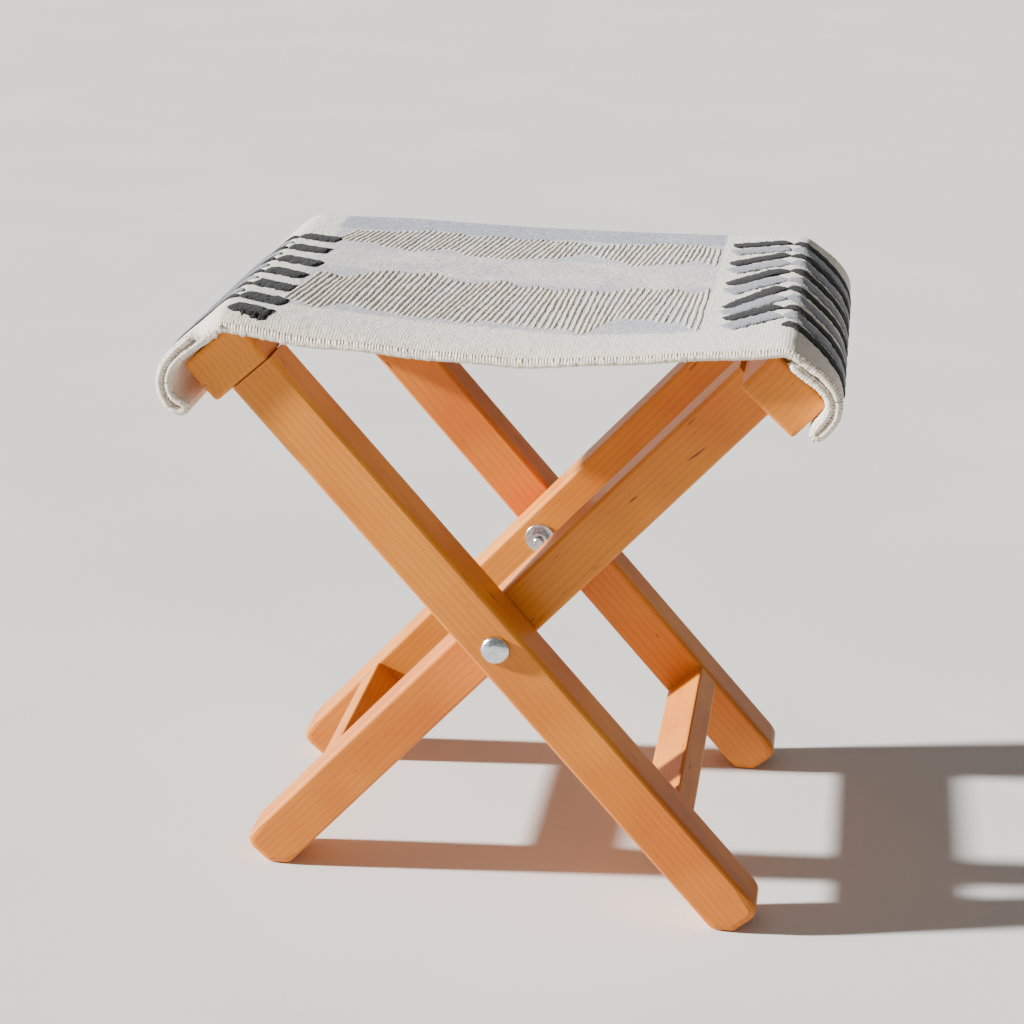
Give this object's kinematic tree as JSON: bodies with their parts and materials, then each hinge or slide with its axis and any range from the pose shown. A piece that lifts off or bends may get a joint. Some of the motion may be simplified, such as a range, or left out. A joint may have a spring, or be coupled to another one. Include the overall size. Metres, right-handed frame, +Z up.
{
  "type": "camp stool",
  "caption": "Folding scissor stool with two pivoting timber frames and a thick woven seat stretched between rails across the leg tops.",
  "frame": {"origin": "on the ground, under the middle of the seat, stool open", "axes": "+Z up, +X across the scissor from the outer rail to the inner rail, +Y along the pivot bolts, the front is -Y"},
  "size_m": [0.4588, 0.321, 0.4398],
  "materials": {
    "varnished_pine": "planed pine with a clear warm varnish, satin",
    "beech_dowel": "fluted beech dowel, glued, not visible",
    "zinc_steel": "bright zinc-plated steel, worn smooth",
    "tack_steel": "blued steel tacks",
    "woven_wool": "thick hand-woven wool rug with raised ridges, cream with grey and black bands"
  },
  "bodies": {
    "outer_frame": {"outer_leg_back": "varnished_pine", "outer_leg_front": "varnished_pine", "outer_rail_dowel_back_1": "beech_dowel", "outer_rail_dowel_back_2": "beech_dowel", "outer_rail_dowel_front_1": "beech_dowel", "outer_rail_dowel_front_2": "beech_dowel", "outer_seat_rail": "varnished_pine", "outer_stretcher": "varnished_pine", "outer_stretcher_dowel_back_1": "beech_dowel", "outer_stretcher_dowel_back_2": "beech_dowel", "outer_stretcher_dowel_front_1": "beech_dowel", "outer_stretcher_dowel_front_2": "beech_dowel", "outer_tack_1": "tack_steel", "outer_tack_2": "tack_steel", "outer_tack_3": "tack_steel", "outer_tack_4": "tack_steel", "outer_tack_5": "tack_steel", "outer_tack_6": "tack_steel", "outer_tack_7": "tack_steel", "pivot_bolt_back": "zinc_steel", "pivot_bolt_front": "zinc_steel", "pivot_nut_back": "zinc_steel", "pivot_nut_front": "zinc_steel", "pivot_spacer_back": "zinc_steel", "pivot_spacer_front": "zinc_steel", "pivot_washer_back": "zinc_steel", "pivot_washer_front": "zinc_steel", "seat_cloth": "woven_wool"},
    "inner_frame": {"inner_leg_back": "varnished_pine", "inner_leg_front": "varnished_pine", "inner_rail_dowel_back_1": "beech_dowel", "inner_rail_dowel_back_2": "beech_dowel", "inner_rail_dowel_front_1": "beech_dowel", "inner_rail_dowel_front_2": "beech_dowel", "inner_seat_rail": "varnished_pine", "inner_stretcher": "varnished_pine", "inner_stretcher_dowel_back_1": "beech_dowel", "inner_stretcher_dowel_back_2": "beech_dowel", "inner_stretcher_dowel_front_1": "beech_dowel", "inner_stretcher_dowel_front_2": "beech_dowel", "inner_tack_1": "tack_steel", "inner_tack_2": "tack_steel", "inner_tack_3": "tack_steel", "inner_tack_4": "tack_steel", "inner_tack_5": "tack_steel", "inner_tack_6": "tack_steel", "inner_tack_7": "tack_steel"}
  },
  "joints": [
    {"name": "fold", "type": "hinge", "parent": "outer_frame", "child": "inner_frame", "pos_m": [0, 0, 0.20764], "axis": [0, -1, 0], "range_deg": [0, 71], "deforming": ["seat_cloth"]}
  ]
}
